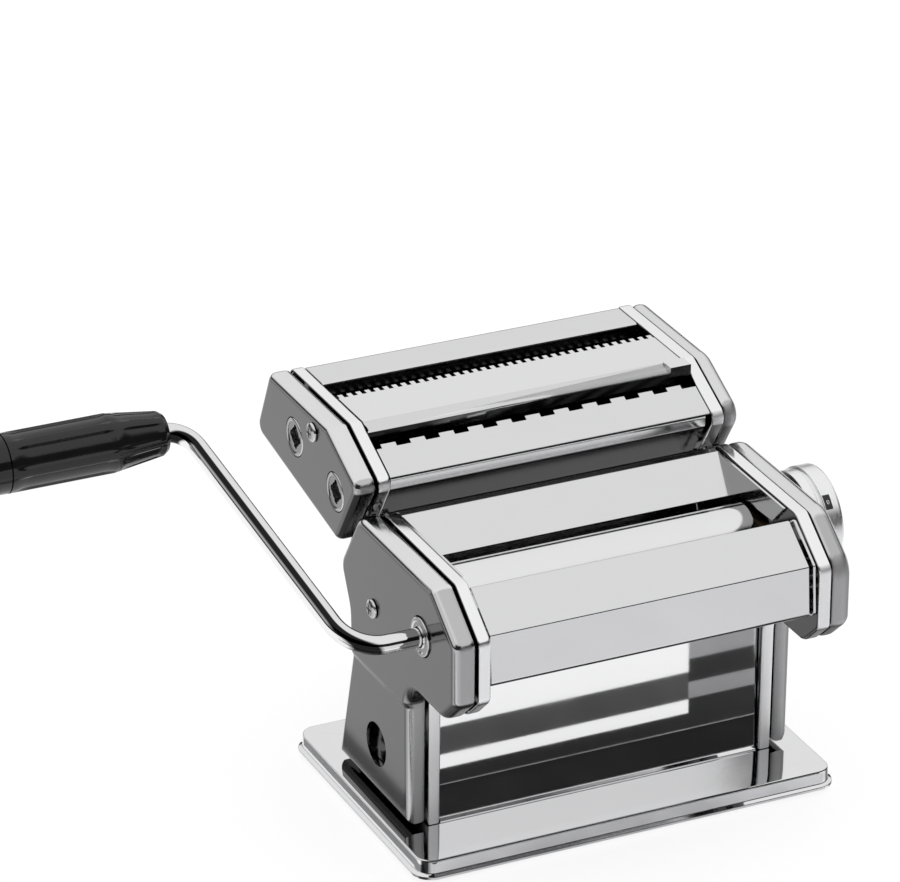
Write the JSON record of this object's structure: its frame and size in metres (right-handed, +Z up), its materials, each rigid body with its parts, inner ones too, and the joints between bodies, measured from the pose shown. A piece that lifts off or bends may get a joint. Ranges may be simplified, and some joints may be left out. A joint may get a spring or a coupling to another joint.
{
  "type": "pasta roller machine",
  "caption": "Hand-cranked tabletop pasta machine: a base plate, folded steel side frames, smooth rollers set by a side knob, a cranked handle and a slide-on cutter head.",
  "frame": {"origin": "bottom centre of the bounding box, on the surface the feet stand on", "axes": "+X along the rollers from the crank to the thickness knob, +Y to the back where the cutter head hangs, +Z up"},
  "size_m": [0.3416, 0.1924, 0.1774],
  "materials": {
    "chrome": "polished",
    "satin_chrome": "satin",
    "roller_steel": "smooth turned",
    "cutter_steel": "black satin",
    "gear_steel": "machined",
    "bearing_bronze": "sintered",
    "black_plastic": "gloss",
    "rubber": "matt",
    "spring_steel": "bright"
  },
  "bodies": {
    "machine": {"base_plate": "chrome", "foot_front_left": "rubber", "foot_front_right": "rubber", "foot_back_left": "rubber", "foot_back_right": "rubber", "left_side_frame": "chrome", "right_side_frame": "chrome", "left_cover": "satin_chrome", "right_cover": "satin_chrome", "front_panel": "chrome", "leg_panel": "chrome", "rear_panel": "chrome", "hopper": "chrome", "front_bush_left": "bearing_bronze", "front_bush_right": "bearing_bronze", "front_scraper": "spring_steel", "rear_scraper": "spring_steel", "upper_tie_rod": "gear_steel", "lower_tie_rod": "gear_steel", "left_cover_screw": "chrome", "right_cover_screw": "chrome", "index_plate": "gear_steel", "left_cutter_rail": "chrome", "right_cutter_rail": "chrome"},
    "drive": {"front_roller": "roller_steel", "front_roller_gear": "gear_steel", "crank_socket": "chrome"},
    "crank": {"crank_rod": "chrome"},
    "grip": {"crank_grip": "black_plastic", "grip_end_cap": "black_plastic"},
    "carriage": {"rear_bearing_left": "bearing_bronze", "rear_bearing_right": "bearing_bronze"},
    "driven": {"rear_roller": "roller_steel", "rear_roller_gear": "gear_steel"},
    "knob_shaft": {"knob_stem": "spring_steel"},
    "knob": {"thickness_knob": "chrome", "index_pin": "spring_steel", "knob_spring": "spring_steel"},
    "cutter_head": {"cutter_left_frame": "chrome", "cutter_right_frame": "chrome", "cutter_left_cover": "satin_chrome", "cutter_right_cover": "satin_chrome", "cutter_back_plate": "chrome", "cutter_centre_plate": "chrome", "cutter_front_plate": "chrome", "cutter_tie_rod": "gear_steel", "wide_comb": "spring_steel", "fine_comb": "spring_steel", "left_cutter_screw": "chrome", "right_cutter_screw": "chrome"},
    "wide_drive": {"wide_cutter_front": "cutter_steel", "wide_cutter_front_gear": "gear_steel", "wide_socket": "chrome"},
    "wide_driven": {"wide_cutter_rear": "cutter_steel", "wide_cutter_rear_gear": "gear_steel"},
    "fine_drive": {"fine_cutter_front": "cutter_steel", "fine_cutter_front_gear": "gear_steel", "fine_socket": "chrome"},
    "fine_driven": {"fine_cutter_rear": "cutter_steel", "fine_cutter_rear_gear": "gear_steel"}
  },
  "joints": [
    {"name": "drive_turn", "type": "hinge", "parent": "machine", "child": "drive", "pos_m": [0.06375, -0.0652, 0.1061], "axis": [1, 0, 0], "continuous": true},
    {"name": "crank_pull", "type": "slide", "parent": "drive", "child": "crank", "axis": [-1, 0, 0], "range_m": [0, 0.025]},
    {"name": "grip_turn", "type": "hinge", "parent": "crank", "child": "grip", "pos_m": [-0.12625, 0.0344, 0.1652], "axis": [1, 0, 0], "continuous": true},
    {"name": "knob_turn", "type": "hinge", "parent": "machine", "child": "knob_shaft", "pos_m": [0.06375, -0.0376, 0.1061], "axis": [1, 0, 0], "range_deg": [-144, 180]},
    {"name": "knob_pull", "type": "slide", "parent": "knob_shaft", "child": "knob", "axis": [1, 0, 0], "range_m": [0, 0.004], "stiffness_N_per_m": 1500, "springref_m": -0.002},
    {"name": "carriage_slide", "type": "slide", "parent": "machine", "child": "carriage", "axis": [0, 1, 0], "range_m": [-0.001, 0.00125]},
    {"name": "driven_turn", "type": "hinge", "parent": "carriage", "child": "driven", "pos_m": [0.06375, -0.0376, 0.1061], "axis": [1, 0, 0], "continuous": true},
    {"name": "cutter_lift", "type": "slide", "parent": "machine", "child": "cutter_head", "axis": [0, -0.53, 0.848], "range_m": [0, 0.03]},
    {"name": "wide_drive_turn", "type": "hinge", "parent": "cutter_head", "child": "wide_drive", "pos_m": [0.06375, 0.0173, 0.1326], "axis": [1, 0, 0], "continuous": true},
    {"name": "wide_driven_turn", "type": "hinge", "parent": "cutter_head", "child": "wide_driven", "pos_m": [0.06375, 0.03503, 0.13573], "axis": [1, 0, 0], "continuous": true},
    {"name": "fine_drive_turn", "type": "hinge", "parent": "cutter_head", "child": "fine_drive", "pos_m": [0.06375, 0.0577, 0.1396], "axis": [1, 0, 0], "continuous": true},
    {"name": "fine_driven_turn", "type": "hinge", "parent": "cutter_head", "child": "fine_driven", "pos_m": [0.06375, 0.07543, 0.14273], "axis": [1, 0, 0], "continuous": true}
  ],
  "couplings": [
    {"joint": "driven_turn", "follows": "drive_turn", "ratio": -1},
    {"joint": "carriage_slide", "follows": "knob_turn", "m_per_rad": 0.00039789},
    {"joint": "wide_driven_turn", "follows": "wide_drive_turn", "ratio": -1},
    {"joint": "fine_driven_turn", "follows": "fine_drive_turn", "ratio": -1}
  ]
}
